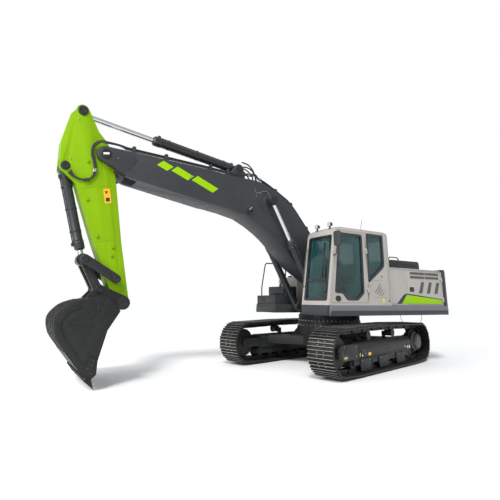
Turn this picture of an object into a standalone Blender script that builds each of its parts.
"""A crawler excavator of the 33 tonne class, in metres, +Z up, standing on z = 0.

+X is the way the cab and the boom face, +Y is the operator's left. The upper structure is square to the
axes, and the undercarriage stands turned under it about the slewing axis. Each moving piece hangs on an
empty that lies on its joint's axis, and its mesh is in that empty's own frame. The origin is the middle of
the footprint of the whole machine.
"""
import math

import bmesh
import bpy
import numpy as np
from mathutils import Matrix, Vector
from mathutils.geometry import tessellate_polygon

# Clearances
SEAT = 0.0003             # between two pieces that touch
RUNNING = 0.005           # between pieces that move past each other
MERGE = 2e-6              # corners this close are one, after a cut or a union
SMALL_SIDES, ROUND_SIDES = 12, 16

# Undercarriage, in its own frame: x along the tracks, z up
UNDERCARRIAGE_TURN = math.radians(13.95)
GAUGE = 2.58
SHOE_WIDTH = 0.60
SHOE_COUNT = 49
GROUSER_HEIGHT = 0.030
SHOE_PLATE = 0.030
CHAIN_DEPTH = 0.160       # grouser tip to the inner side of the chain
CHAIN_WIDTH = 0.200
TUMBLER_HALF_BASE = 1.96  # half the distance between idler and sprocket
TUMBLER_HEIGHT = 0.52
TUMBLER_REACH = 0.49      # tumbler axis to grouser tip
ROLLER_RADIUS = 0.10
ROLLER_HALF_SPAN = 1.40
ROLLER_COUNT = 8
CARRIER_RADIUS = 0.08
CARRIER_OFFSET = 0.62
TRACK_TOP = 1.04
FRAME_HALF_WIDTH = 0.19
FRAME_BOTTOM, FRAME_SHOULDER, FRAME_TOP = 0.38, 0.60, 0.68
FRAME_HALF_LENGTH = 1.42
YOKE_INNER, YOKE_OUTER = 0.130, 0.170
IDLER_PIN = 0.045
CARBODY_BELLY, CARBODY_LEG_TOP, CARBODY_TOP = 0.46, 0.66, 1.00
CARBODY_RADIUS = 0.80
SLEW_RING_RADIUS = 0.74
SLEW_RING_HOLE = 0.45

# Upper structure, from the slewing axis
UPPER_HALF_WIDTH = 1.46
DECK_BOTTOM, DECK_TOP = 1.235, 1.455
DECK_REAR = -2.45
DECK_FRONT_LEFT, DECK_FRONT_RIGHT = 1.42, 1.28
NOTCH_BACK, NOTCH_HALF_WIDTH = 0.30, 0.61
SKIRT_REACH = 0.075
SKIRT_REAR = -2.80

# Cab
CAB_RIGHT, CAB_LEFT = 0.62, 1.50
CAB_REAR, CAB_FRONT = -0.60, 1.43
CAB_ROOF = 3.207
CAB_ROOF_FRONT = 1.15
CAB_WALL = 0.055
CAB_SKIN = 0.035          # floor and roof
GLASS = 0.006
DOOR_REAR = 0.20
DOOR_THICKNESS = 0.045
HINGE_RADIUS = 0.020
WINDSHIELD_LOW, WINDSHIELD_SPLIT, WINDSHIELD_HIGH = 1.56, 2.02, CAB_ROOF - 0.187
FRONT_POST = 0.075
WINDOW_HEAD = CAB_ROOF - 0.147
RIGHT_WINDOW = [(CAB_REAR + 0.20, 1.95), (CAB_FRONT - 0.24, 1.95), (CAB_ROOF_FRONT - 0.14, WINDOW_HEAD),
                (CAB_REAR + 0.20, WINDOW_HEAD)]
REAR_WINDOW = [(CAB_RIGHT + 0.12, 2.30), (CAB_LEFT - 0.12, 2.30), (CAB_LEFT - 0.12, WINDOW_HEAD),
               (CAB_RIGHT + 0.12, WINDOW_HEAD)]

# Machinery housing
HOUSING_FRONT, HOUSING_REAR = -0.66, -2.785
HOUSING_HALF_WIDTH = 1.43
HOUSING_TOP = 2.385
HOUSING_WALL = 0.040
LEFT_DOOR = (-1.335, -2.735)     # front and rear edges of the radiator door
RIGHT_DOOR = (-0.80, -2.05)      # of the pump door
DOOR_SILL, DOOR_HEAD = DECK_TOP + 0.035, HOUSING_TOP - 0.060
HOOD_FRONT, HOOD_REAR = -1.20, -2.42
HOOD_LEFT, HOOD_RIGHT = 1.05, -0.95
HOOD_TOP = 2.630
HOOD_WALL = 0.030
WEIGHT_REAR, WEIGHT_TOP = -3.10, 2.410

# Front linkage: a boom point is (along the boom, across it), and so on for the arm and the bucket
BOOM_FOOT = (0.10, 1.92)
BOOM_ANGLE = math.radians(22.3)
BOOM_LENGTH = 6.45
BOOM_HALF_WIDTH = 0.31
BOOM_EYE = (2.62, 1.06)
BOOM_CYLINDER_FOOT = (0.70, 1.37)
CYLINDER_EAR = 0.122      # radius of the ears that hold the boom cylinders' feet
BOOM_CYLINDER_OFFSET = BOOM_HALF_WIDTH + 0.15
BOOM_LOW, BOOM_HIGH = math.radians(-62), math.radians(40)
ARM_CYLINDER_FOOT = (3.59, 1.50)
ARM_ANGLE = math.radians(-122.7)
ARM_LENGTH = 2.95
ARM_HALF_WIDTH = 0.20
ARM_EYE = (-0.93, 0.32)
ARM_LOW, ARM_HIGH = math.radians(-22), math.radians(82)
BUCKET_CYLINDER_FOOT = (0.20, 0.77)
ROCKER_FOOT = (2.48, 0.09)
ROCKER_EYE = (2.02, 0.62)
BUCKET_ANGLE = math.radians(30.9)
BUCKET_HALF_WIDTH = 0.70
BUCKET_SHELL = 0.035
BUCKET_LINK_EYE = (-0.06, 0.532)
BUCKET_CYLINDER_SPAN = (1.778, 3.064)
FRONT_REACH = 0.835       # how far the arm's tail stands ahead of the boom's nose pin
TOOTH_COUNT = 5
TOOTH_WIDTH = 0.09
FOOT_PLATE = 0.040
EAR_INNER, EAR_PLATE = 0.215, 0.060          # the bucket's hinge ears, from the middle plane
ROCKER_INNER, ROCKER_PLATE = 0.285, 0.050    # the side links
FORK_INNER, FORK_OUTER = 0.118, 0.200        # the bucket link's fork
PIN, LINK_PIN = 0.050, 0.045
BOOM_BARREL, BOOM_ROD = 0.085, 0.050
ARM_BARREL, ARM_ROD = 0.100, 0.057
BUCKET_BARREL, BUCKET_ROD = 0.090, 0.052
GLAND_NUT = 0.010         # how far the gland's nut stands out from its barrel
BARREL_END = 0.28         # from the gland to the eye's middle when a cylinder is shut
BUCKET_BARREL_END = 0.155
ROD_HELD = 0.13           # rod left in the barrel when a cylinder is fully out
EYE_RADIUS = 0.115
EYE_HALF_WIDTH = 0.085


# ---------------------------------------------------------------- outlines

def turned(point, angle):
    """A flat point turned about the origin."""
    c, s = math.cos(angle), math.sin(angle)
    return (c * point[0] - s * point[1], s * point[0] + c * point[1])


def moved(point, by):
    return (point[0] + by[0], point[1] + by[1])


def between(start, end):
    """Distance and direction from one flat point to another."""
    return math.dist(start, end), math.atan2(end[1] - start[1], end[0] - start[0])


def arc(middle, radius, start, end, steps=6):
    """Points on an arc, from one angle in degrees to another."""
    angles = np.radians(np.linspace(start, end, steps + 1))
    return [(middle[0] + radius * math.cos(a), middle[1] + radius * math.sin(a)) for a in angles]


def smooth(points, steps=3):
    """A curve through the points, each stretch shaped by its neighbours (Catmull-Rom)."""
    p = np.array([points[0], *points, points[-1]], float)
    curve = []
    for i in range(1, len(p) - 2):
        for t in np.arange(steps) / steps:
            curve.append(tuple(0.5 * (2 * p[i] + (p[i + 1] - p[i - 1]) * t
                                      + (2 * p[i - 1] - 5 * p[i] + 4 * p[i + 1] - p[i + 2]) * t ** 2
                                      + (3 * p[i] - p[i - 1] - 3 * p[i + 1] + p[i + 2]) * t ** 3)))
    return curve + [tuple(p[-2])]


def offset(curve, distance):
    """An open curve moved to its left by a distance."""
    p = np.array(curve)
    along = np.gradient(p, axis=0)
    along /= np.linalg.norm(along, axis=1)[:, None]
    return [tuple(q) for q in p + distance * np.column_stack([-along[:, 1], along[:, 0]])]


def capsule(start, end, start_radius, end_radius, steps=6):
    """The outline of a link plate: round at both pins."""
    heading = math.degrees(between(start, end)[1])
    return (arc(start, start_radius, heading + 90, heading + 270, steps)
            + arc(end, end_radius, heading - 90, heading + 90, steps))


def rounded(corners, radius, steps=3):
    """The closed outline with each corner cut back and turned by a small curve."""
    outline = []
    for i, corner in enumerate(corners):
        c = np.array(corner)
        before = np.array(corners[i - 1]) - c
        after = np.array(corners[(i + 1) % len(corners)]) - c
        back = min(radius, 0.45 * np.linalg.norm(before), 0.45 * np.linalg.norm(after))
        start = c + before / np.linalg.norm(before) * back
        end = c + after / np.linalg.norm(after) * back
        for t in np.linspace(0, 1, steps + 1):
            outline.append(tuple((1 - t) ** 2 * start + 2 * t * (1 - t) * c + t ** 2 * end))
    return outline


def hull(points):
    """The convex outline round a set of flat points."""
    points = sorted(set(map(tuple, np.round(points, 6))))
    chains = []
    for ordered in (points, points[::-1]):
        chain = []
        for p in ordered:
            while len(chain) > 1 and np.cross(np.subtract(chain[-1], chain[-2]),
                                              np.subtract(p, chain[-1])) <= 0:
                chain.pop()
            chain.append(p)
        chains.append(chain[:-1])
    return chains[0] + chains[1]


# ---------------------------------------------------------------- solids

def solid(points, faces):
    """A closed mesh object at the origin, its faces turned outwards."""
    mesh = bpy.data.meshes.new("solid")
    mesh.from_pydata([tuple(p) for p in points], [], faces)
    bm = bmesh.new()
    bm.from_mesh(mesh)
    bmesh.ops.recalc_face_normals(bm, faces=bm.faces)
    bm.to_mesh(mesh)
    bm.free()
    obj = bpy.data.objects.new("solid", mesh)
    bpy.context.scene.collection.objects.link(obj)
    return obj


def prism(outline, low, high, axis="Y", holes=()):
    """The outline, with any holes, carried from low to high. Its two numbers are x and z along Y, x and y
    along Z, or y and z along X."""
    column = {"X": 0, "Y": 1, "Z": 2}[axis]
    rings = [list(outline), *map(list, holes)]
    flat = [p for ring in rings for p in ring]
    count = len(flat)
    points = np.vstack([np.insert(np.array(flat, float), column, height, axis=1) for height in (low, high)])
    caps = tessellate_polygon([[Vector((a, b, 0)) for a, b in ring] for ring in rings])
    faces = [tuple(cap) for cap in caps] + [tuple(i + count for i in cap) for cap in caps]
    start = 0
    for ring in rings:
        for i in range(len(ring)):
            a, b = start + i, start + (i + 1) % len(ring)
            faces.append((a, b, b + count, a + count))
        start += len(ring)
    return solid(points, faces)


def block(x, y, z):
    """A box, from three pairs of limits."""
    return prism([(x[0], z[0]), (x[1], z[0]), (x[1], z[1]), (x[0], z[1])], y[0], y[1])


def drum(middle, radius, low, high, axis="Y", sides=ROUND_SIDES, hole=None):
    """A round bar or ring between two heights on its axis."""
    ring = arc(middle, radius, 0, 360, sides)[:-1]
    holes = [arc(middle, hole, 0, 360, sides)[:-1]] if hole else []
    return prism(ring, low, high, axis, holes)


def spun(profile, sides=ROUND_SIDES):
    """A profile of (x, radius) points, from axis to axis, turned about the x axis."""
    points, faces = [], []
    for x, radius in profile:
        for i in range(sides if radius else 1):
            a = 2 * math.pi * i / sides
            points.append((x, radius * math.cos(a), radius * math.sin(a)))
    start = 0
    for (_, near), (_, far) in zip(profile, profile[1:]):
        n, m = (sides if near else 1), (sides if far else 1)
        for i in range(sides):
            j = (i + 1) % sides
            ring = (start + i % n, start + j % n, start + n + j % m, start + n + i % m)
            faces.append(tuple(dict.fromkeys(ring)))
        start += n
    return solid(points, faces)


def boolean_mesh(base, other, operation, solver):
    """The mesh that one Boolean step makes, with its coincident corners merged, and whether it is closed."""
    step = base.modifiers.new("step", "BOOLEAN")
    step.operation, step.object, step.solver = operation, other, solver
    bpy.context.view_layer.update()
    graph = bpy.context.evaluated_depsgraph_get()
    mesh = bpy.data.meshes.new_from_object(base.evaluated_get(graph))
    base.modifiers.clear()
    bm = bmesh.new()
    bm.from_mesh(mesh)
    bmesh.ops.remove_doubles(bm, verts=bm.verts, dist=MERGE)
    bmesh.ops.triangulate(bm, faces=[face for face in bm.faces if len(face.verts) > 4])
    is_closed = all(edge.is_manifold for edge in bm.edges)
    bm.to_mesh(mesh)
    bm.free()
    return mesh, is_closed


def combined(base, others, operation):
    """One solid made of several, the others used up."""
    for other in others:
        for solver in ("EXACT", "MANIFOLD"):
            mesh, is_closed = boolean_mesh(base, other, operation, solver)
            if is_closed:
                break
        base.data = mesh
        bpy.data.objects.remove(other)
    return base


def joined(base, *others):
    return combined(base, others, "UNION")


def cut(base, *others):
    return combined(base, others, "DIFFERENCE")


def common(base, other):
    return combined(base, [other], "INTERSECT")


def bore(middle, pin_radius, turn=0.0):
    """The outline of a many-sided bore that a pin turns in. Its flats just clear the pin's corners, and they
    face them at rest, when the pin is turned that far against the bore."""
    half = math.pi / SMALL_SIDES
    start = math.degrees(turn + half)
    return arc(middle, (pin_radius + SEAT) / math.cos(half), start, start + 360, SMALL_SIDES)[:-1]


def across(middle, radius, low, high, sides=SMALL_SIDES, hole=None):
    """A pin or boss that lies along Y."""
    return drum(middle, radius, low, high, "Y", sides, hole)


def hinge_halves(middle, outward, towards, along, places, length):
    """Knuckles of a hinge: (for the fixed side, for the moving side). The pin line lies just outside the seam
    between two flush faces, and each knuckle has a lug that reaches into its own face."""
    outward, towards, along = Vector(outward), Vector(towards), Vector(along)
    frame = Matrix((towards, outward, along)).transposed().to_4x4()
    halves = ([], [])
    for place in places:
        for half, side in enumerate((-1, 1)):
            low = place + (SEAT / 2 if side > 0 else -length)
            high = place + (length if side > 0 else -SEAT / 2)
            knuckle = drum((0, 0), HINGE_RADIUS, low, high, "Z", 12)
            near, far = sorted((0.004 * side, 0.045 * side))
            lug = block((near, far), (-HINGE_RADIUS - 0.012, -0.004), (low, high))
            knuckle = joined(knuckle, lug)
            knuckle.data.transform(Matrix.Translation(middle) @ frame)
            halves[half].append(knuckle)
    return halves


# ---------------------------------------------------------------- scene

def frame(name, parent=None, place=(0, 0, 0), lift=0.0, turn=0.0):
    """An empty on a joint's axis: lift raises its x axis in the boom's plane, turn is about the vertical."""
    empty = bpy.data.objects.new(name, None)
    bpy.context.scene.collection.objects.link(empty)
    empty.parent = parent
    empty.location = place
    empty.rotation_euler = (0, -lift, turn)
    return empty


def finish(obj, name, look, parent, place=(0, 0, 0)):
    """Names a finished solid, gives it its material and hangs it on its frame."""
    obj.name = obj.data.name = name
    obj.data.materials.clear()
    obj.data.materials.append(look)
    obj.parent = parent
    obj.location = place
    obj.data.shade_smooth()
    obj.data.set_sharp_from_angle(angle=math.radians(32))
    return obj


def mirrored(obj, name, parent=None):
    """The other side's copy of a piece, reflected in its frame's middle plane."""
    mesh = obj.data.copy()
    mesh.transform(Matrix.Scale(-1, 4, (0, 1, 0)))
    mesh.flip_normals()
    copy = bpy.data.objects.new(name, mesh)
    mesh.name = name
    bpy.context.scene.collection.objects.link(copy)
    copy.parent = parent or obj.parent
    copy.location = (obj.location.x, -obj.location.y, obj.location.z)
    return copy


def paint(name, colour, roughness, metallic=0.0, alpha=1.0):
    look = bpy.data.materials.new(name)
    look.use_nodes = True
    shader = look.node_tree.nodes["Principled BSDF"]
    shader.inputs["Base Color"].default_value = (*colour, 1)
    shader.inputs["Roughness"].default_value = roughness
    shader.inputs["Metallic"].default_value = metallic
    shader.inputs["Alpha"].default_value = alpha
    look.diffuse_color = (*colour, alpha)
    return look


# ---------------------------------------------------------------- undercarriage

def wheels():
    """The rounds that the track runs over: (x, z, reach to the grouser tips)."""
    lower = CHAIN_DEPTH + ROLLER_RADIUS
    upper = CHAIN_DEPTH + CARRIER_RADIUS
    found = [(side * TUMBLER_HALF_BASE, TUMBLER_HEIGHT, TUMBLER_REACH) for side in (-1, 1)]
    found += [(side * ROLLER_HALF_SPAN, lower, lower) for side in (-1, 1)]
    return found + [(side * CARRIER_OFFSET, TRACK_TOP - upper, upper) for side in (-1, 1)]


def loop_points():
    """The outline of the grouser tips, closed on itself: a band stretched over all the rounds."""
    rounds = []
    for x, z, reach in wheels():
        rounds += arc((x, z), reach, 0, 360, 72)
    outline = hull(rounds)
    return np.array(outline + outline[:1])


def belt(depth, count, shift=0.0):
    """Points evenly along the track's loop, that far inside the grouser tips."""
    loop = loop_points()
    lengths = np.concatenate([[0], np.cumsum(np.linalg.norm(np.diff(loop, axis=0), axis=1))])
    at = (np.arange(count) + shift) / count * lengths[-1] % lengths[-1]
    step = 0.01
    sample = [np.column_stack([np.interp(s % lengths[-1], lengths, loop[:, k]) for k in (0, 1)])
              for s in (at - step, at, at + step)]
    along = sample[2] - sample[0]
    along /= np.linalg.norm(along, axis=1)[:, None]
    outward = np.column_stack([along[:, 1], -along[:, 0]])
    return sample[1] - depth * outward


def track(look, parent):
    """The loop of shoes, each with its raised grouser, on the narrower chain."""
    outer = []
    stops = ((0.30, GROUSER_HEIGHT), (0.40, 0.0), (0.52, 0.0), (0.62, GROUSER_HEIGHT))
    rows = [belt(depth, SHOE_COUNT, shift) for shift, depth in stops]
    for shoe in range(SHOE_COUNT):
        outer += [tuple(row[shoe]) for row in rows]
    under = [tuple(p) for p in belt(GROUSER_HEIGHT + SHOE_PLATE, SHOE_COUNT, 0.05)]
    chain_out = [tuple(p) for p in belt(GROUSER_HEIGHT + SHOE_PLATE / 2, SHOE_COUNT, 0.05)]
    chain_in = [tuple(p) for p in belt(CHAIN_DEPTH, 2 * SHOE_COUNT)]
    shoes = prism(outer, -SHOE_WIDTH / 2, SHOE_WIDTH / 2, "Y", [under])
    chain = prism(chain_out, -CHAIN_WIDTH / 2, CHAIN_WIDTH / 2, "Y", [chain_in])
    return finish(joined(shoes, chain), "track_left", look, parent, (0, GAUGE / 2, 0))


def tumbler_radius():
    """The largest round that stays inside the chain's flats where it goes round a tumbler."""
    inner = TUMBLER_REACH - CHAIN_DEPTH
    length = np.linalg.norm(np.diff(loop_points(), axis=0), axis=1).sum()
    turn = length / (2 * SHOE_COUNT) / TUMBLER_REACH
    return inner * math.cos(turn / 2) - 2 * SEAT


def idler(look, parent):
    rim = tumbler_radius()
    middle = (TUMBLER_HALF_BASE, TUMBLER_HEIGHT)
    wheel = across(middle, rim, -0.09, 0.09, ROUND_SIDES)
    hub = across(middle, 0.11, -YOKE_INNER + SEAT, YOKE_INNER - SEAT)
    axle = across(middle, IDLER_PIN, -YOKE_OUTER - 0.012, YOKE_OUTER + 0.012)
    return finish(joined(wheel, hub, axle), "idler_left", look, parent, (0, GAUGE / 2, 0))


def sprocket(look, parent):
    """A toothed rim on the travel drive's hub, which is bolted to the frame's rear bracket."""
    tip = tumbler_radius()
    middle = (-TUMBLER_HALF_BASE, TUMBLER_HEIGHT)
    teeth, rim = 11, []
    for i in range(teeth):
        for share, radius in ((0.0, tip - 0.035), (0.25, tip - 0.035), (0.42, tip), (0.83, tip)):
            a = 2 * math.pi * (i + share) / teeth
            rim.append((middle[0] + radius * math.cos(a), middle[1] + radius * math.sin(a)))
    wheel = prism(rim, -0.035, 0.035)
    drive = across(middle, 0.235, -YOKE_INNER + SEAT, 0.10, ROUND_SIDES)
    cover = across(middle, 0.175, 0.05, 0.185, ROUND_SIDES)
    return finish(joined(wheel, drive, cover), "sprocket_left", look, parent, (0, GAUGE / 2, 0))


def track_frame(look, parent):
    """The side frame: a beam with sloping shoulders, the idler's yoke, the drive's bracket and the carriers."""
    w, shoulder = FRAME_HALF_WIDTH, 0.55 * FRAME_HALF_WIDTH
    section = [(-w, FRAME_BOTTOM), (w, FRAME_BOTTOM), (w, FRAME_SHOULDER), (shoulder, FRAME_TOP),
               (-shoulder, FRAME_TOP), (-w, FRAME_SHOULDER)]
    beam = prism(section, -FRAME_HALF_LENGTH, FRAME_HALF_LENGTH, "X")
    low, high = FRAME_BOTTOM + 0.02, FRAME_SHOULDER + 0.02
    front = FRAME_HALF_LENGTH - 0.10
    yoke = [(front, low), (TUMBLER_HALF_BASE, TUMBLER_HEIGHT - 0.10)]
    yoke += arc((TUMBLER_HALF_BASE, TUMBLER_HEIGHT), 0.10, -60, 60, 4)
    yoke += [(TUMBLER_HALF_BASE, TUMBLER_HEIGHT + 0.10), (front, high - 0.02)]
    hole = bore((TUMBLER_HALF_BASE, TUMBLER_HEIGHT), IDLER_PIN)
    pieces = [prism(yoke, side[0], side[1], "Y", [hole])
              for side in ((-YOKE_OUTER, -YOKE_INNER), (YOKE_INNER, YOKE_OUTER))]
    bracket = [(-front, high), (-front, low)] + arc((-TUMBLER_HALF_BASE, TUMBLER_HEIGHT), 0.22, 235, 125, 6)
    pieces.append(prism(bracket, -YOKE_OUTER, -YOKE_INNER))
    carrier_height = TRACK_TOP - CHAIN_DEPTH - CARRIER_RADIUS
    for x in (-CARRIER_OFFSET, CARRIER_OFFSET):
        post = (FRAME_SHOULDER - 0.02, carrier_height + 0.03)
        pieces.append(block((x - 0.06, x + 0.06), (-0.155, -0.115), post))
        pieces.append(across((x, carrier_height), 0.035, -0.13, 0.0))
        pieces.append(across((x, carrier_height), CARRIER_RADIUS - 2 * SEAT, -0.085, 0.085))
    return finish(joined(beam, *pieces), "track_frame_left", look, parent, (0, GAUGE / 2, 0))


def roller_bank(look, parent):
    """The bottom rollers, carried between two bars under the side frame."""
    height = CHAIN_DEPTH + ROLLER_RADIUS
    reach = ROLLER_HALF_SPAN + 0.05
    bar = (height - 0.035, FRAME_BOTTOM - SEAT)
    bank = block((-reach, reach), (0.125, 0.160), bar)
    pieces = [block((-reach, reach), (-0.160, -0.125), bar)]
    for x in np.linspace(-ROLLER_HALF_SPAN, ROLLER_HALF_SPAN, ROLLER_COUNT):
        pieces.append(across((x, height), ROLLER_RADIUS - 2 * SEAT, -0.127, 0.127))
    return finish(joined(bank, *pieces), "roller_bank_left", look, parent, (0, GAUGE / 2, 0))


def carbody(look, parent):
    """The X-shaped frame between the side frames, with the round tower that the slewing ring stands on."""
    reach = GAUGE / 2 - FRAME_HALF_WIDTH - SEAT
    quarter = [(0.70, 0.22), (1.18, reach), (0.66, reach), (0.26, 0.66)]
    outline = quarter + [(-x, y) for x, y in reversed(quarter)]
    outline += [(-x, -y) for x, y in quarter] + [(x, -y) for x, y in reversed(quarter)]
    legs = prism(outline, CARBODY_BELLY, CARBODY_LEG_TOP, "Z")
    tower = drum((0, 0), CARBODY_RADIUS, CARBODY_BELLY, CARBODY_TOP, "Z", ROUND_SIDES)
    return finish(joined(legs, tower), "carbody", look, parent)


def slew_ring(look, parent):
    ring = drum((0, 0), SLEW_RING_RADIUS, CARBODY_TOP + SEAT, DECK_BOTTOM - SEAT, "Z", 32, SLEW_RING_HOLE)
    flange = drum((0, 0), SLEW_RING_RADIUS + 0.05, CARBODY_TOP + SEAT, CARBODY_TOP + 0.05, "Z", 32,
                  SLEW_RING_HOLE + 0.05)
    return finish(joined(ring, flange), "slew_ring", look, parent)


# ---------------------------------------------------------------- upper structure

def boom_cylinder_line():
    """Length and direction of the boom cylinders at rest, foot pin to eye."""
    return between(BOOM_CYLINDER_FOOT, moved(turned(BOOM_EYE, BOOM_ANGLE), BOOM_FOOT))


def main_deck(look, parent):
    """The slewing frame: a deck notched in front, the boom's foot brackets and the boom cylinders' ears."""
    w, n = UPPER_HALF_WIDTH, NOTCH_HALF_WIDTH
    outline = [(DECK_REAR, -w), (DECK_FRONT_RIGHT, -w), (DECK_FRONT_RIGHT, -n), (NOTCH_BACK, -n),
               (NOTCH_BACK, n), (DECK_FRONT_LEFT, n), (DECK_FRONT_LEFT, w), (DECK_REAR, w)]
    deck = prism(outline, DECK_BOTTOM, DECK_TOP, "Z")
    foot, ear = BOOM_FOOT, BOOM_CYLINDER_FOOT
    bracket = [(foot[0] - 0.75, DECK_TOP - 0.05), (foot[0] - 0.75, DECK_TOP + 0.12)]
    bracket += arc(foot, 0.19, 150, 20, 6)
    bracket += arc(ear, CYLINDER_EAR, 60, -90, 6) + [(NOTCH_BACK - 0.05, DECK_BOTTOM + 0.01)]
    pins = [bore(foot, PIN, BOOM_ANGLE), bore(ear, PIN, boom_cylinder_line()[1])]
    inner = BOOM_HALF_WIDTH + 3 * RUNNING
    outer_ear = [(NOTCH_BACK - 0.05, DECK_TOP - 0.01)] + arc(ear, CYLINDER_EAR, 90, -90, 6)
    outer_ear += [(NOTCH_BACK - 0.05, DECK_BOTTOM + 0.01)]
    pieces = []
    for side in (-1, 1):
        near, far = sorted((side * inner, side * (inner + FOOT_PLATE)))
        pieces.append(prism(bracket, near, far, "Y", pins))
        start = BOOM_CYLINDER_OFFSET + EYE_HALF_WIDTH + 2 * RUNNING
        near, far = sorted((side * start, side * (start + FOOT_PLATE)))
        pieces.append(prism(outer_ear, near, far, "Y", pins[1:]))
    return finish(joined(deck, *pieces), "main_deck", look, parent)


def side_skirt(look, parent):
    """The bevelled trim along the deck's edge."""
    start = UPPER_HALF_WIDTH + SEAT
    section = [(start, DECK_BOTTOM - 0.01), (start + 0.02, DECK_BOTTOM - 0.01),
               (start + SKIRT_REACH, DECK_BOTTOM + 0.115), (start + 0.045, DECK_TOP), (start, DECK_TOP)]
    skirt = prism(section, SKIRT_REAR + SEAT, DECK_FRONT_LEFT - 0.03, "X")
    right = prism([(-y, z) for y, z in section], SKIRT_REAR + SEAT, DECK_FRONT_RIGHT - 0.03, "X")
    finish(right, "side_skirt_right", look, parent)
    return finish(skirt, "side_skirt_left", look, parent)


def cab_profile(inset=0.0):
    """The cab seen from its left side: an upright back, a raked front and rounded roof corners."""
    floor, roof = DECK_TOP + SEAT, CAB_ROOF
    skin = CAB_SKIN if inset else 0.0
    low, high = floor + skin, roof - skin
    rear, brow = CAB_REAR + inset, cab_front(high) - inset
    return [(rear, low), (cab_front(low) - inset, low), (cab_front(high - 0.14) - inset, high - 0.14),
            (brow - 0.03, high - 0.045), (brow - 0.14, high), (rear + 0.10, high), (rear + 0.02, high - 0.03),
            (rear, high - 0.10)]


def cab_front(z):
    """How far forward the cab's front face is at a height."""
    floor = DECK_TOP + SEAT
    return CAB_FRONT - (CAB_FRONT - CAB_ROOF_FRONT) * (z - floor) / (CAB_ROOF - floor)


def door_outline(gap=0.0):
    """The door between the pillars, grown by a gap for the opening that it closes."""
    low, high = DECK_TOP + 0.055 - gap, CAB_ROOF - 0.075 + gap
    rear = DOOR_REAR - gap
    front_low, front_high = cab_front(low) - 0.075 + gap, cab_front(high) - 0.075 + gap
    return [(rear, low), (front_low, low), (front_high, high), (rear, high)]


def door_window():
    """The door's glazing: tall, and cut away low down at its front and back."""
    low, high = DECK_TOP + 0.115, CAB_ROOF - 0.13
    front_low = cab_front(low + 0.16) - 0.16
    return [(DOOR_REAR + 0.33, low), (DOOR_REAR + 0.66, low), (DOOR_REAR + 0.80, low + 0.15),
            (front_low, low + 0.16), (cab_front(high) - 0.14, high), (DOOR_REAR + 0.10, high),
            (DOOR_REAR + 0.12, low + 0.16)]


def quarter_window():
    """The side window behind the door, its lower edge rising to the back."""
    return [(DOOR_REAR - 0.055, CAB_ROOF - 0.08), (CAB_REAR + 0.18, CAB_ROOF - 0.08), (CAB_REAR + 0.18, 2.37),
            (DOOR_REAR - 0.045, 1.97)]


def cab_shell(look, parent):
    """The hollow cab, with its windows and its doorway cut."""
    shell = prism(cab_profile(), CAB_RIGHT, CAB_LEFT)
    inside = prism(cab_profile(CAB_WALL), CAB_RIGHT + CAB_WALL, CAB_LEFT - CAB_WALL)
    left = (CAB_LEFT - 2 * CAB_WALL, CAB_LEFT + CAB_WALL)
    right = (CAB_RIGHT - CAB_WALL, CAB_RIGHT + 2 * CAB_WALL)
    cutters = [inside, prism(door_outline(RUNNING), *left), prism(quarter_window(), *left),
               prism(RIGHT_WINDOW, *right),
               prism(REAR_WINDOW, CAB_REAR - CAB_WALL, CAB_REAR + 2 * CAB_WALL, "X"),
               block((CAB_ROOF_FRONT - 0.20, CAB_FRONT + 0.20),
                     (CAB_RIGHT + FRONT_POST, CAB_LEFT - FRONT_POST), (WINDSHIELD_LOW, WINDSHIELD_HIGH))]
    for cutter in cutters:
        shell = cut(shell, cutter)
    for knuckle in door_hinge(0):
        shell = joined(shell, knuckle)
    return finish(shell, "cab_shell", look, parent)


def door_hinge(half):
    """One side's hinge knuckles: 0 for the cab's post, 1 for the door."""
    middle = (DOOR_REAR - RUNNING / 2, CAB_LEFT + HINGE_RADIUS + 0.001, 0)
    heights = [DECK_TOP + 0.35, CAB_ROOF - 0.50]
    halves = hinge_halves(middle, (0, 1, 0), (1, 0, 0), (0, 0, 1), heights, 0.06)
    for piece in halves[1 - half]:
        bpy.data.objects.remove(piece)
    return halves[half]


def cab_door(look, pivot):
    """The door: a frame as thick as the doorway, its window cut, and its half of the hinges."""
    door = prism(door_outline(), CAB_LEFT - DOOR_THICKNESS, CAB_LEFT, "Y", [door_window()])
    for knuckle in door_hinge(1):
        door = joined(door, knuckle)
    door.data.transform(Matrix.Translation(-Vector(pivot.location)))
    return finish(door, "cab_door", look, pivot)


def pane(outline, low, high, axis, name, look, parent, origin=None):
    """A flat pane set in its opening with the seat's clearance all round."""
    middle = np.mean(outline, axis=0)
    shrunk = []
    for i, corner in enumerate(outline):
        before, after = np.array(outline[i - 1]), np.array(outline[(i + 1) % len(outline)])
        ways = [(np.array(corner) - before), (after - np.array(corner))]
        normals = []
        for way in ways:
            normal = np.array([-way[1], way[0]]) / np.linalg.norm(way)
            normals.append(normal if np.dot(normal, middle - np.array(corner)) > 0 else -normal)
        mitre = (normals[0] + normals[1]) / (1 + np.dot(normals[0], normals[1]))
        shrunk.append(tuple(np.array(corner) + SEAT * mitre))
    glass = prism(shrunk, low, high, axis)
    if origin is not None:
        glass.data.transform(Matrix.Translation(-Vector(origin.location)))
    return finish(glass, name, look, parent)


def windshield(low, high, name, look, parent):
    """A raked pane of the windscreen between two heights."""
    low, high = low + SEAT, high - SEAT
    back = CAB_WALL / 2
    section = [(cab_front(low) - back, low), (cab_front(low) - back - GLASS, low),
               (cab_front(high) - back - GLASS, high), (cab_front(high) - back, high)]
    glass = prism(section, CAB_RIGHT + FRONT_POST + SEAT, CAB_LEFT - FRONT_POST - SEAT)
    return finish(glass, name, look, parent)


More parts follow.
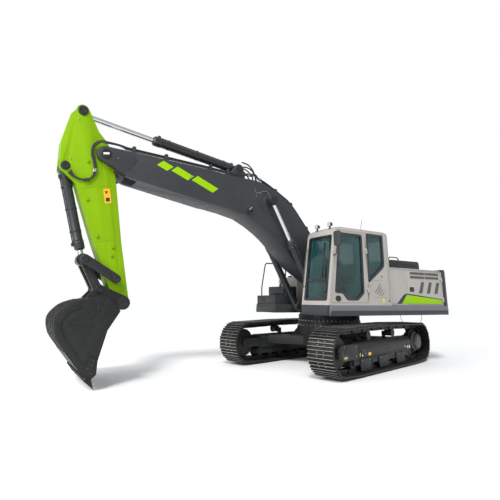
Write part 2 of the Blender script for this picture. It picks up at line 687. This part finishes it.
def operator_seat(look, parent):
    """The seat on its pedestal: cushion, leaning back and headrest."""
    middle = (CAB_RIGHT + CAB_LEFT) / 2
    floor = DECK_TOP + CAB_SKIN + 2 * SEAT
    base = block((-0.05, 0.40), (middle - 0.20, middle + 0.20), (floor, floor + 0.36))
    pads = [([(-0.12, 0.34), (0.46, 0.34), (0.48, 0.47), (-0.12, 0.45)], 0.05, 0.25),
            ([(-0.12, 0.38), (0.02, 0.38), (-0.10, 1.05), (-0.22, 1.05)], 0.05, 0.24),
            ([(-0.21, 1.02), (-0.12, 1.02), (-0.15, 1.26), (-0.23, 1.26)], 0.03, 0.13)]
    shapes = []
    for corners, radius, half_width in pads:
        outline = rounded([(x, floor + z) for x, z in corners], radius, 2)
        shapes.append(prism(outline, middle - half_width, middle + half_width))
    return finish(joined(base, *shapes), "operator_seat", look, parent)


def consoles(look, parent):
    """The two arm consoles beside the seat, each with its joystick."""
    middle = (CAB_RIGHT + CAB_LEFT) / 2
    floor = DECK_TOP + CAB_SKIN + 2 * SEAT
    reach = (CAB_LEFT - CAB_RIGHT) / 2 - CAB_WALL - RUNNING
    made = []
    for side, name in ((1, "console_left"), (-1, "console_right")):
        inner, outer = sorted((middle + side * 0.265, middle + side * reach))
        section = [(-0.10, 0.0), (0.30, 0.0), (0.42, 0.50), (0.50, 0.62), (0.42, 0.66), (-0.10, 0.60)]
        console = prism([(x, floor + z) for x, z in section], inner, outer)
        stick = drum((0.40, (inner + outer) / 2), 0.022, floor + 0.55, floor + 0.86, "Z", 10)
        made.append(finish(joined(console, stick), name, look, parent))
    return made


def travel_controls(look, parent):
    """The two travel pedals with their levers, on a plate on the cab's floor."""
    middle = (CAB_RIGHT + CAB_LEFT) / 2
    floor = DECK_TOP + CAB_SKIN + 2 * SEAT
    plate = block((0.84, 1.02), (middle - 0.20, middle + 0.20), (floor, floor + 0.05))
    pedal = [(0.80, 0.10), (0.83, 0.07), (1.08, 0.17), (1.06, 0.20)]
    stem = [(0.90, 0.04), (0.95, 0.04), (0.93, 0.16), (0.90, 0.14)]
    lever = [(0.94, 0.10), (0.97, 0.10), (0.87, 0.72), (0.84, 0.72)]
    pieces = []
    for y in (middle - 0.09, middle + 0.09):
        for section, half_width in ((pedal, 0.06), (stem, 0.03), (lever, 0.012)):
            outline = [(x, floor + z) for x, z in section]
            pieces.append(prism(outline, y - half_width, y + half_width))
    return finish(joined(plate, *pieces), "travel_controls", look, parent)


def service_opening(front, rear, low, high):
    return [(rear, low), (front, low), (front, high), (rear, high)]


def service_hinge(side, half):
    """Knuckles of a service door: the left one hangs at its rear edge, the right one at its front edge."""
    edge = LEFT_DOOR[1] - RUNNING / 2 if side > 0 else RIGHT_DOOR[0] + RUNNING / 2
    middle = (edge, side * (HOUSING_HALF_WIDTH + HINGE_RADIUS + 0.001), 0)
    heights = [DOOR_SILL + 0.12, DOOR_HEAD - 0.20]
    halves = hinge_halves(middle, (0, side, 0), (side, 0, 0), (0, 0, 1), heights, 0.06)
    for piece in halves[1 - half]:
        bpy.data.objects.remove(piece)
    return halves[half]


def service_door(side, name, look, pivot):
    edges = LEFT_DOOR if side > 0 else RIGHT_DOOR
    near, far = sorted((side * (HOUSING_HALF_WIDTH - HOUSING_WALL), side * HOUSING_HALF_WIDTH))
    door = prism(service_opening(*edges, DOOR_SILL, DOOR_HEAD), near, far)
    for knuckle in service_hinge(side, 1):
        door = joined(door, knuckle)
    door.data.transform(Matrix.Translation(-Vector(pivot.location)))
    return finish(door, name, look, pivot)


def housing_shell(look, parent):
    """The sheet-metal housing over the engine: sides, roof and front wall, open below and behind."""
    w, floor, t = HOUSING_HALF_WIDTH, DECK_TOP + SEAT, HOUSING_WALL
    roof, ceiling = HOUSING_TOP, HOUSING_TOP - t
    section = [(-w, floor), (w, floor), (w, roof - 0.05), (w - 0.05, roof), (-w + 0.05, roof), (-w, roof - 0.05)]
    hollow = [(-w + t, floor - 1), (w - t, floor - 1), (w - t, roof - 0.07), (w - 0.07, ceiling),
              (-w + 0.07, ceiling), (-w + t, roof - 0.07)]
    shell = prism(section, HOUSING_REAR, HOUSING_FRONT, "X")
    side_cut = (w - 2 * t, w + t)
    heights = (DOOR_SILL - RUNNING, DOOR_HEAD + RUNNING)
    left = service_opening(LEFT_DOOR[0] + RUNNING, LEFT_DOOR[1] - RUNNING, *heights)
    right = service_opening(RIGHT_DOOR[0] + RUNNING, RIGHT_DOOR[1] - RUNNING, *heights)
    cutters = [prism(hollow, HOUSING_REAR - 1, HOUSING_FRONT - t, "X"),
               prism(left, *side_cut), prism(right, -side_cut[1], -side_cut[0]),
               block((HOOD_REAR + 0.06, HOOD_FRONT - 0.06), (HOOD_RIGHT + 0.06, HOOD_LEFT - 0.06),
                     (HOUSING_TOP - 2 * t, HOUSING_TOP + t))]
    for cutter in cutters:
        shell = cut(shell, cutter)
    for knuckle in service_hinge(1, 0) + service_hinge(-1, 0) + hood_hinge(0):
        shell = joined(shell, knuckle)
    return finish(shell, "housing_shell", look, parent)


def hood_hinge(half):
    """Knuckles behind the engine hood, on the housing's roof."""
    middle = (HOOD_REAR - HINGE_RADIUS - 0.001, 0, HOUSING_TOP + HINGE_RADIUS + RUNNING)
    halves = ([], [])
    for y in (HOOD_RIGHT + 0.25, HOOD_LEFT - 0.25):
        fixed = across((middle[0], middle[2]), HINGE_RADIUS, y - 0.06, y - SEAT / 2, 12)
        foot = block((middle[0] - 0.012, middle[0] + 0.012), (y - 0.06, y - SEAT / 2),
                     (HOUSING_TOP - 0.01, middle[2]))
        halves[0].append(joined(fixed, foot))
        moving = across((middle[0], middle[2]), HINGE_RADIUS, y + SEAT / 2, y + 0.06, 12)
        strap = block((middle[0], HOOD_REAR + 0.01), (y + SEAT / 2, y + 0.06),
                      (middle[2] - 0.010, middle[2] + 0.012))
        halves[1].append(joined(moving, strap))
    for piece in halves[1 - half]:
        bpy.data.objects.remove(piece)
    return halves[half]


def engine_hood(look, pivot):
    """The raised lid over the engine, a pressed tray with rounded edges."""
    low = HOUSING_TOP + RUNNING
    edge = 0.07
    outline = [(HOOD_REAR, low), (HOOD_FRONT, low)] + arc((HOOD_FRONT - edge, HOOD_TOP - edge), edge, 0, 90, 3)
    outline += arc((HOOD_REAR + edge, HOOD_TOP - edge), edge, 90, 180, 3)
    outer = prism(outline, HOOD_RIGHT, HOOD_LEFT)
    t = HOOD_WALL
    inner = block((HOOD_REAR + t, HOOD_FRONT - t), (HOOD_RIGHT + t, HOOD_LEFT - t), (low - t, HOOD_TOP - t))
    hood = cut(outer, inner)
    for knuckle in hood_hinge(1):
        hood = joined(hood, knuckle)
    hood.data.transform(Matrix.Translation(-Vector(pivot.location)))
    return finish(hood, "engine_hood", look, pivot)


def counterweight(look, parent):
    """The cast weight behind the housing: a bowed rear face, its front block let in between the side panels."""
    front = DECK_REAR - SEAT
    step, inner = HOUSING_REAR - 0.012, HOUSING_HALF_WIDTH - HOUSING_WALL - 0.015
    w = UPPER_HALF_WIDTH
    corner = 0.28
    plan = [(front, -inner), (front, inner), (step, inner), (step, w)]
    plan += arc((WEIGHT_REAR + corner, w - corner), corner, 90, 160, 5)
    plan += [(WEIGHT_REAR, 0.55 * w), (WEIGHT_REAR, -0.55 * w)]
    plan += arc((WEIGHT_REAR + corner, -w + corner), corner, 200, 270, 5) + [(step, -w), (step, -inner)]
    body = prism(plan, DECK_BOTTOM, WEIGHT_TOP, "Z")
    roof = HOUSING_TOP - HOUSING_WALL - 0.045
    side = [(front + 0.01, DECK_BOTTOM - 0.01), (front + 0.01, roof), (step, roof), (step, WEIGHT_TOP)]
    side += smooth([(WEIGHT_REAR + 0.20, WEIGHT_TOP), (WEIGHT_REAR + 0.07, WEIGHT_TOP - 0.12),
                    (WEIGHT_REAR + 0.01, WEIGHT_TOP - 0.40), (WEIGHT_REAR + 0.01, WEIGHT_TOP - 0.85),
                    (WEIGHT_REAR + 0.06, DECK_BOTTOM + 0.08), (WEIGHT_REAR + 0.14, DECK_BOTTOM - 0.01)], 2)
    return finish(common(body, prism(side, -2 * w, 2 * w)), "counterweight", look, parent)


def engine_block(look, parent):
    """The engine and its pumps, as one plain mass on the deck."""
    mass = block((-2.30, -1.20), (-0.85, 0.70), (DECK_TOP + SEAT, 2.22))
    return finish(mass, "engine_block", look, parent)


def tanks(hydraulic_look, fuel_look, parent):
    """Hydraulic tank and fuel tank, ahead of the housing on the right."""
    near, far = -UPPER_HALF_WIDTH, -NOTCH_HALF_WIDTH - 0.03
    low = DECK_TOP + SEAT
    for name, x, top, look in (("hydraulic_tank", (HOUSING_FRONT + 0.012, -0.10), 2.36, hydraulic_look),
                               ("fuel_tank", (-0.088, 0.50), 2.20, fuel_look)):
        section = [(near, low), (far, low), (far, top - 0.03), (far - 0.03, top), (near + 0.05, top),
                   (near, top - 0.05)]
        finish(prism(section, *x, "X"), name, look, parent)


def tool_box(look, parent):
    """The stepped box at the right front, which is also the way up."""
    low = DECK_TOP + SEAT
    front, step, upper_step = DECK_FRONT_RIGHT - 0.02, 1.68, 1.93
    section = [(0.512, low), (front, low), (front, step), (0.86, step), (0.86, upper_step), (0.512, upper_step)]
    return finish(prism(section, -UPPER_HALF_WIDTH, -NOTCH_HALF_WIDTH - 0.05), "tool_box", look, parent)


def tube(points, radius, name, look, parent, sides=8):
    """A bent tube along a list of places, its corners rounded."""
    path = [Vector(points[0])]
    for before, corner, after in zip(points, points[1:], points[2:]):
        c, a, b = Vector(corner), Vector(before), Vector(after)
        bend = min(4 * radius, 0.4 * (a - c).length, 0.4 * (b - c).length)
        start, end = c + (a - c).normalized() * bend, c + (b - c).normalized() * bend
        for t in np.linspace(0, 1, 4):
            path.append(start.lerp(c, t).lerp(c.lerp(end, t), t))
    path.append(Vector(points[-1]))
    data = bpy.data.curves.new(name, "CURVE")
    data.dimensions = "3D"
    data.bevel_depth = radius
    data.bevel_resolution = sides // 4
    data.use_fill_caps = True
    spline = data.splines.new("POLY")
    spline.points.add(len(path) - 1)
    for point, place in zip(spline.points, path):
        point.co = (*place, 1)
    bent = bpy.data.objects.new(name, data)
    bpy.context.scene.collection.objects.link(bent)
    bpy.context.view_layer.update()
    graph = bpy.context.evaluated_depsgraph_get()
    mesh = bpy.data.meshes.new_from_object(bent.evaluated_get(graph))
    bpy.data.objects.remove(bent)
    bm = bmesh.new()
    bm.from_mesh(mesh)
    bmesh.ops.remove_doubles(bm, verts=bm.verts, dist=1e-6)
    bm.to_mesh(mesh)
    bm.free()
    made = bpy.data.objects.new(name, mesh)
    bpy.context.scene.collection.objects.link(made)
    return finish(made, name, look, parent)


def mirror(look, parent):
    """The left mirror on its bracket, ahead of the door's sweep."""
    low, high = cab_front(2.55) - 0.03, cab_front(3.06) - 0.03
    route = [(low, CAB_LEFT + SEAT, 2.55), (low, CAB_LEFT + 0.08, 2.55), (1.44, 1.83, 2.72), (1.46, 1.85, 2.99),
             (high, CAB_LEFT + 0.08, 3.06), (high, CAB_LEFT + SEAT, 3.06)]
    bracket = tube(route, 0.012, "bracket", look, None)
    glass = prism(rounded([(1.77, 2.70), (1.95, 2.70), (1.95, 3.02), (1.77, 3.02)], 0.04, 2), 1.435, 1.475, "X")
    return finish(joined(glass, bracket), "mirror_left", look, parent)


# ---------------------------------------------------------------- front linkage

def arm_cylinder_line():
    """Length and direction of the arm cylinder at rest, in the boom's frame."""
    return between(ARM_CYLINDER_FOOT, moved(turned(ARM_EYE, ARM_ANGLE), (BOOM_LENGTH, 0)))


def boom(look, pivot):
    """The goose-necked box boom, forked at its nose, with ears for the arm cylinder on its back."""
    length = BOOM_LENGTH
    top = smooth([(0.70, 0.66), (1.26, 0.973), (2.0, 1.348), (2.61, 1.436), (3.04, 1.411), (3.74, 1.146),
                  (4.35, 0.947)], 3)
    belly = smooth([(4.01, 0.232), (3.89, 0.274), (3.08, 0.448), (2.4, 0.384), (2.0, 0.27), (1.2, -0.02)], 2)
    outline = arc((0, 0), 0.20, 262, 132, 6) + top + [(length - 0.50, 0.367), (length - 0.095, 0.21)]
    outline += arc((length, 0), 0.165, 75, -100, 7) + [(length - 0.16, -0.165), (length - 0.62, -0.187)] + belly
    body = prism(outline, -BOOM_HALF_WIDTH, BOOM_HALF_WIDTH)
    fork = ARM_HALF_WIDTH + 2 * RUNNING
    slot = block((length - 0.80, length + 0.5), (-fork, fork), (-1, 1))
    body = cut(body, slot)
    body = cut(body, prism(bore((length, 0), PIN, ARM_ANGLE), -1, 1))
    foot_reach = BOOM_HALF_WIDTH + 3 * RUNNING + FOOT_PLATE
    foot_pin = across((0, 0), PIN, -foot_reach, foot_reach)
    boss_reach = BOOM_CYLINDER_OFFSET - EYE_HALF_WIDTH - RUNNING
    boss = across(BOOM_EYE, 0.13, -boss_reach, boss_reach)
    base = ARM_CYLINDER_FOOT
    ear = [(base[0] - 0.36, 1.18)] + arc(base, 0.12, 130, 20, 5) + [(base[0] + 0.24, 1.10)]
    ear_in = ARM_BARREL + 2 * RUNNING
    hole = bore(base, PIN, arm_cylinder_line()[1])
    ears = [prism(ear, *sorted((side * ear_in, side * (ear_in + FOOT_PLATE))), "Y", [hole]) for side in (-1, 1)]
    return finish(joined(body, foot_pin, boss, *ears), "boom", look, pivot)


def arm(look, pivot):
    """The stick: a tapering box, forked behind for the arm cylinder, with the bucket cylinder's ears on top."""
    length, rocker = ARM_LENGTH, ROCKER_FOOT
    tail, base = ARM_EYE, BUCKET_CYLINDER_FOOT
    outline = arc(tail, 0.13, 265, 100, 6) + [(-0.85, 0.56), (-0.334, 0.78)] + arc(base, 0.11, 110, 30, 4)
    outline += [(0.56, 0.60), (1.68, 0.41), (2.163, 0.31), (length - 0.16, 0.188)]
    outline += arc((length, 0), 0.135, 75, -110, 6) + [(1.80, -0.12), (0.546, -0.162), (0.275, -0.162)]
    outline += arc((0, 0), 0.175, -70, -115, 2) + [(-0.294, -0.075), (-0.495, 0.054)]
    body = prism(outline, -ARM_HALF_WIDTH, ARM_HALF_WIDTH)
    slot = BUCKET_BARREL + 2 * RUNNING
    tail_half = ARM_BARREL + GLAND_NUT + 2 * RUNNING
    tail_slot = block((-2, -0.62), (-tail_half, tail_half), (-1, 2))
    base_slot = block((base[0] - EYE_RADIUS - 0.04, 0.80), (-slot, slot), (base[1] - EYE_RADIUS - 0.04, 2))
    base_bore = prism(bore(base, PIN, between(BUCKET_CYLINDER_FOOT, ROCKER_EYE)[1]), -1, 1)
    for cutter in (tail_slot, base_slot, base_bore):
        body = cut(body, cutter)
    pin_reach = BOOM_HALF_WIDTH
    nose_pin = across((0, 0), PIN, -pin_reach - 0.012, pin_reach + 0.012)
    boss = across(rocker, 0.09, -ROCKER_INNER + SEAT, ROCKER_INNER - SEAT)
    rocker_pin = across(rocker, LINK_PIN, -ROCKER_INNER - ROCKER_PLATE, ROCKER_INNER + ROCKER_PLATE)
    hub = across((length, 0), 0.11, -EAR_INNER + SEAT, EAR_INNER - SEAT)
    bucket_pin = across((length, 0), PIN, -EAR_INNER - EAR_PLATE - 0.01, EAR_INNER + EAR_PLATE + 0.01)
    return finish(joined(body, nose_pin, boss, rocker_pin, hub, bucket_pin), "arm", look, pivot)


def bucket_curve():
    """The bucket's outer skin, from its rim by the hinge round the back to the lip."""
    return smooth([(0.19, 0.10), (0.05, 0.33), (0.09, 0.54), (0.33, 0.89), (0.51, 1.02), (0.71, 1.064),
                   (0.92, 0.95), (1.05, 0.79), (1.40, 0.22)], 3)


def bucket(look, pivot):
    """The digging bucket: a curved skin between two side plates, hinge ears, lip, teeth and side cutters."""
    skin = bucket_curve()
    w, t = BUCKET_HALF_WIDTH, BUCKET_SHELL
    shell = prism(skin + offset(skin, -t)[::-1], -w + t / 2, w - t / 2)
    rim = [(1.34, 0.17), (1.10, 0.13), (0.57, 0.18)]
    pieces = [prism(skin + rim, *sorted((side * (w - t), side * w))) for side in (-1, 1)]
    eye, hinge = BUCKET_LINK_EYE, (0, 0)
    ear = arc(hinge, 0.13, 190, 320, 6) + [(0.20, 0.20), (0.22, 0.66), (0.14, 0.68)] + arc(eye, 0.10, 60, 200, 6)
    hole = bore(hinge, PIN, -BUCKET_ANGLE)
    for side in (-1, 1):
        pieces.append(prism(ear, *sorted((side * EAR_INNER, side * (EAR_INNER + EAR_PLATE))), "Y", [hole]))
        cutter = [(1.05, 0.28), (1.30, 0.30), (1.40, 0.12), (1.30, 0.07), (1.08, 0.14)]
        pieces.append(prism(cutter, *sorted((side * (w - 0.01), side * (w + 0.025)))))
    lip = [(1.22, 0.42), (1.27, 0.45), (1.43, 0.20), (1.37, 0.16)]
    pieces.append(prism(lip, -w + 0.002, w - 0.002))
    spread = w - t - TOOTH_WIDTH / 2
    for y in np.linspace(-spread, spread, TOOTH_COUNT):
        tooth = [(1.28, 0.26), (1.36, 0.35), (1.47, 0.19), (1.537, 0.0), (1.38, 0.12)]
        pieces.append(prism(tooth, y - TOOTH_WIDTH / 2, y + TOOTH_WIDTH / 2))
    made = shell
    for piece in pieces:
        made = joined(made, piece)
    return finish(made, "bucket", look, pivot)


def rockers(look, pivot):
    """The two side links between the arm and the bucket link."""
    length, heading = between(ROCKER_FOOT, ROCKER_EYE)
    hole = bore((0, 0), LINK_PIN, -heading)
    outline = capsule((0, 0), (length, 0), 0.085, 0.085)
    plate = prism(outline, ROCKER_INNER, ROCKER_INNER + ROCKER_PLATE, "Y", [hole])
    pin = across((length, 0), LINK_PIN, FORK_INNER, ROCKER_INNER + ROCKER_PLATE - 0.01)
    left = finish(joined(plate, pin), "side_link_left", look, pivot)
    return left, mirrored(left, "side_link_right")


def bucket_link(look, pivot, length, turn):
    """The H-shaped link that pushes the bucket: a fork at the cylinder's end and one wide eye at the other."""
    hole = bore((0, 0), LINK_PIN, -turn)
    outline = capsule((0, 0), (length, 0), 0.08, 0.08)
    sides = [prism(outline, *sorted((s * FORK_INNER, s * FORK_OUTER)), "Y", [hole]) for s in (-1, 1)]
    eye = across((length, 0), 0.085, -EAR_INNER + 2 * RUNNING, EAR_INNER - 2 * RUNNING)
    web = block((length - 0.26, length), (-FORK_INNER - 0.02, FORK_INNER + 0.02), (-0.03, 0.03))
    return finish(joined(eye, web, *sides), "bucket_link", look, pivot)


def reach_at(pivot, base, eye, angle):
    """Pin-to-pin length of a cylinder when its eye has turned about the pivot."""
    return math.dist(base, moved(turned(np.subtract(eye, pivot), angle), pivot))


def cylinder(name, base, eye, span, size, looks, parent, pin_reach, offset_y=0.0, end=BARREL_END):
    """A barrel on its foot pin and a rod with its eye, which slides out along the barrel's axis. The span is
    its shortest and longest length between pins, the size its barrel's and its rod's radius."""
    (shortest, longest), (barrel, rod) = span, size
    rest, heading = between(base, eye)
    gland = shortest - end
    turn = frame(name + "_pivot", parent, (base[0], offset_y, base[1]), heading)
    inside = rod + SEAT
    bottom = EYE_RADIUS + 0.025
    profile = [(0.06, 0.0), (0.06, barrel), (gland - 0.16, barrel), (gland - 0.16, barrel + GLAND_NUT),
               (gland - 0.02, barrel + GLAND_NUT), (gland, barrel - 0.01), (gland, inside), (bottom, inside),
               (bottom, 0.0)]
    tube_part = spun(profile)
    foot = across((0, 0), EYE_RADIUS, -EYE_HALF_WIDTH, EYE_HALF_WIDTH, ROUND_SIDES)
    pin = across((0, 0), PIN, -pin_reach, pin_reach)
    finish(joined(tube_part, foot, pin), name, looks[0], turn)
    shaft_length = longest - gland + ROD_HELD
    shaft = spun([(-shaft_length, 0.0), (-shaft_length, rod), (-EYE_RADIUS / 2, rod), (-EYE_RADIUS / 2, 0.0)])
    ring = across((0, 0), EYE_RADIUS, -EYE_HALF_WIDTH, EYE_HALF_WIDTH, ROUND_SIDES)
    return finish(joined(ring, shaft), name.replace("cylinder", "rod"), looks[1], turn, (rest, 0, 0))


# ---------------------------------------------------------------- the whole machine

def build():
    for old in list(bpy.data.objects):
        bpy.data.objects.remove(old)
    dark_steel = paint("dark_frame_paint", (0.045, 0.047, 0.050), 0.55)
    track_steel = paint("track_steel", (0.09, 0.09, 0.09), 0.5, 0.8)
    deck_grey = paint("deck_grey_paint", (0.10, 0.105, 0.11), 0.5)
    panel_grey = paint("warm_grey_panel_paint", (0.52, 0.50, 0.47), 0.45)
    boom_grey = paint("boom_grey_paint", (0.07, 0.075, 0.08), 0.5)
    lime = paint("lime_paint", (0.38, 0.78, 0.03), 0.4)
    bucket_black = paint("bucket_paint", (0.03, 0.03, 0.032), 0.6)
    chrome = paint("rod_chrome", (0.75, 0.76, 0.78), 0.15, 1.0)
    barrel_black = paint("cylinder_paint", (0.04, 0.04, 0.042), 0.4)
    tinted = paint("tinted_glass", (0.05, 0.20, 0.18), 0.05, 0.0, 0.4)
    trim = paint("interior_plastic", (0.04, 0.042, 0.045), 0.6)

    ahead = BOOM_FOOT[0] + BOOM_LENGTH * math.cos(BOOM_ANGLE) + FRONT_REACH
    machine = frame("machine", None, (-(ahead + WEIGHT_REAR) / 2, 0, 0))
    lower = frame("undercarriage_frame", machine, turn=UNDERCARRIAGE_TURN)
    upper = frame("slewing_axis", machine)

    for piece in (track(track_steel, lower), idler(dark_steel, lower), sprocket(dark_steel, lower),
                  track_frame(dark_steel, lower), roller_bank(dark_steel, lower)):
        mirrored(piece, piece.name.replace("left", "right"))
    carbody(dark_steel, lower)
    slew_ring(dark_steel, lower)

    main_deck(deck_grey, upper)
    side_skirt(deck_grey, upper)
    cab_shell(panel_grey, upper)
    door_axis = frame("cab_door_hinge", upper, (DOOR_REAR - RUNNING / 2, CAB_LEFT + HINGE_RADIUS + 0.001, 0))
    cab_door(panel_grey, door_axis)
    left_wall, right_wall = CAB_LEFT - CAB_WALL / 2, CAB_RIGHT + CAB_WALL / 2
    rear_wall = CAB_REAR + CAB_WALL / 2
    for name, outline, wall, axis, hung in (("door_glass", door_window(), left_wall, "Y", door_axis),
                                            ("quarter_glass", quarter_window(), left_wall, "Y", None),
                                            ("right_glass", RIGHT_WINDOW, right_wall, "Y", None),
                                            ("rear_glass", REAR_WINDOW, rear_wall, "X", None)):
        pane(outline, wall - GLASS / 2, wall + GLASS / 2, axis, name, tinted, hung or upper, hung)
    windshield(WINDSHIELD_LOW, WINDSHIELD_SPLIT, "windshield_lower", tinted, upper)
    windshield(WINDSHIELD_SPLIT, WINDSHIELD_HIGH, "windshield_upper", tinted, upper)
    operator_seat(trim, upper)
    consoles(trim, upper)
    travel_controls(trim, upper)

    housing_shell(panel_grey, upper)
    left_hinge = frame("radiator_door_hinge", upper,
                       (LEFT_DOOR[1] - RUNNING / 2, HOUSING_HALF_WIDTH + HINGE_RADIUS + 0.001, 0))
    service_door(1, "radiator_door", panel_grey, left_hinge)
    right_hinge = frame("pump_door_hinge", upper,
                        (RIGHT_DOOR[0] + RUNNING / 2, -HOUSING_HALF_WIDTH - HINGE_RADIUS - 0.001, 0))
    service_door(-1, "pump_door", panel_grey, right_hinge)
    hood_axis = frame("engine_hood_hinge", upper,
                      (HOOD_REAR - HINGE_RADIUS - 0.001, 0, HOUSING_TOP + HINGE_RADIUS + RUNNING))
    engine_hood(deck_grey, hood_axis)
    counterweight(deck_grey, upper)
    engine_block(dark_steel, upper)
    tanks(panel_grey, panel_grey, upper)
    tool_box(deck_grey, upper)
    tube([(1.16, -1.38, 1.68 + SEAT), (1.16, -1.38, 1.90), (1.02, -1.38, 2.60), (0.30, -1.38, 2.60),
          (0.30, -1.38, 2.20 + SEAT)], 0.018, "handrail_right", dark_steel, upper)
    mirror(trim, upper)

    boom_pivot = frame("boom_foot_pin", upper, (BOOM_FOOT[0], 0, BOOM_FOOT[1]), BOOM_ANGLE)
    arm_pivot = frame("boom_nose_pin", boom_pivot, (BOOM_LENGTH, 0, 0), ARM_ANGLE)
    bucket_pivot = frame("bucket_pin", arm_pivot, (ARM_LENGTH, 0, 0), BUCKET_ANGLE)
    boom(boom_grey, boom_pivot)
    arm(lime, arm_pivot)
    bucket(bucket_black, bucket_pivot)
    rocker_length, rocker_heading = between(ROCKER_FOOT, ROCKER_EYE)
    rocker_pivot = frame("side_link_pin", arm_pivot, (ROCKER_FOOT[0], 0, ROCKER_FOOT[1]), rocker_heading)
    rockers(dark_steel, rocker_pivot)
    link_eye = moved(turned(BUCKET_LINK_EYE, BUCKET_ANGLE), (ARM_LENGTH, 0))
    link_length, link_heading = between(ROCKER_EYE, link_eye)
    link_pivot = frame("bucket_link_pin", rocker_pivot, (rocker_length, 0, 0), link_heading - rocker_heading)
    bucket_link(dark_steel, link_pivot, link_length, link_heading - rocker_heading)

    steel = (barrel_black, chrome)
    eye = moved(turned(BOOM_EYE, BOOM_ANGLE), BOOM_FOOT)
    span = sorted(reach_at(BOOM_FOOT, BOOM_CYLINDER_FOOT, eye, angle) for angle in (BOOM_LOW, BOOM_HIGH))
    for name, side in (("boom_cylinder_left", 1), ("boom_cylinder_right", -1)):
        cylinder(name, BOOM_CYLINDER_FOOT, eye, span, (BOOM_BARREL, BOOM_ROD), steel, upper,
                 EYE_HALF_WIDTH + 2 * RUNNING + FOOT_PLATE - 0.01, side * BOOM_CYLINDER_OFFSET)
    eye = moved(turned(ARM_EYE, ARM_ANGLE), (BOOM_LENGTH, 0))
    span = sorted(reach_at((BOOM_LENGTH, 0), ARM_CYLINDER_FOOT, eye, angle) for angle in (ARM_LOW, ARM_HIGH))
    cylinder("arm_cylinder", ARM_CYLINDER_FOOT, eye, span, (ARM_BARREL, ARM_ROD), steel, boom_pivot,
             ARM_BARREL + 2 * RUNNING + FOOT_PLATE)
    cylinder("bucket_cylinder", BUCKET_CYLINDER_FOOT, ROCKER_EYE, BUCKET_CYLINDER_SPAN,
             (BUCKET_BARREL, BUCKET_ROD), steel, arm_pivot, ARM_HALF_WIDTH, end=BUCKET_BARREL_END)


build()
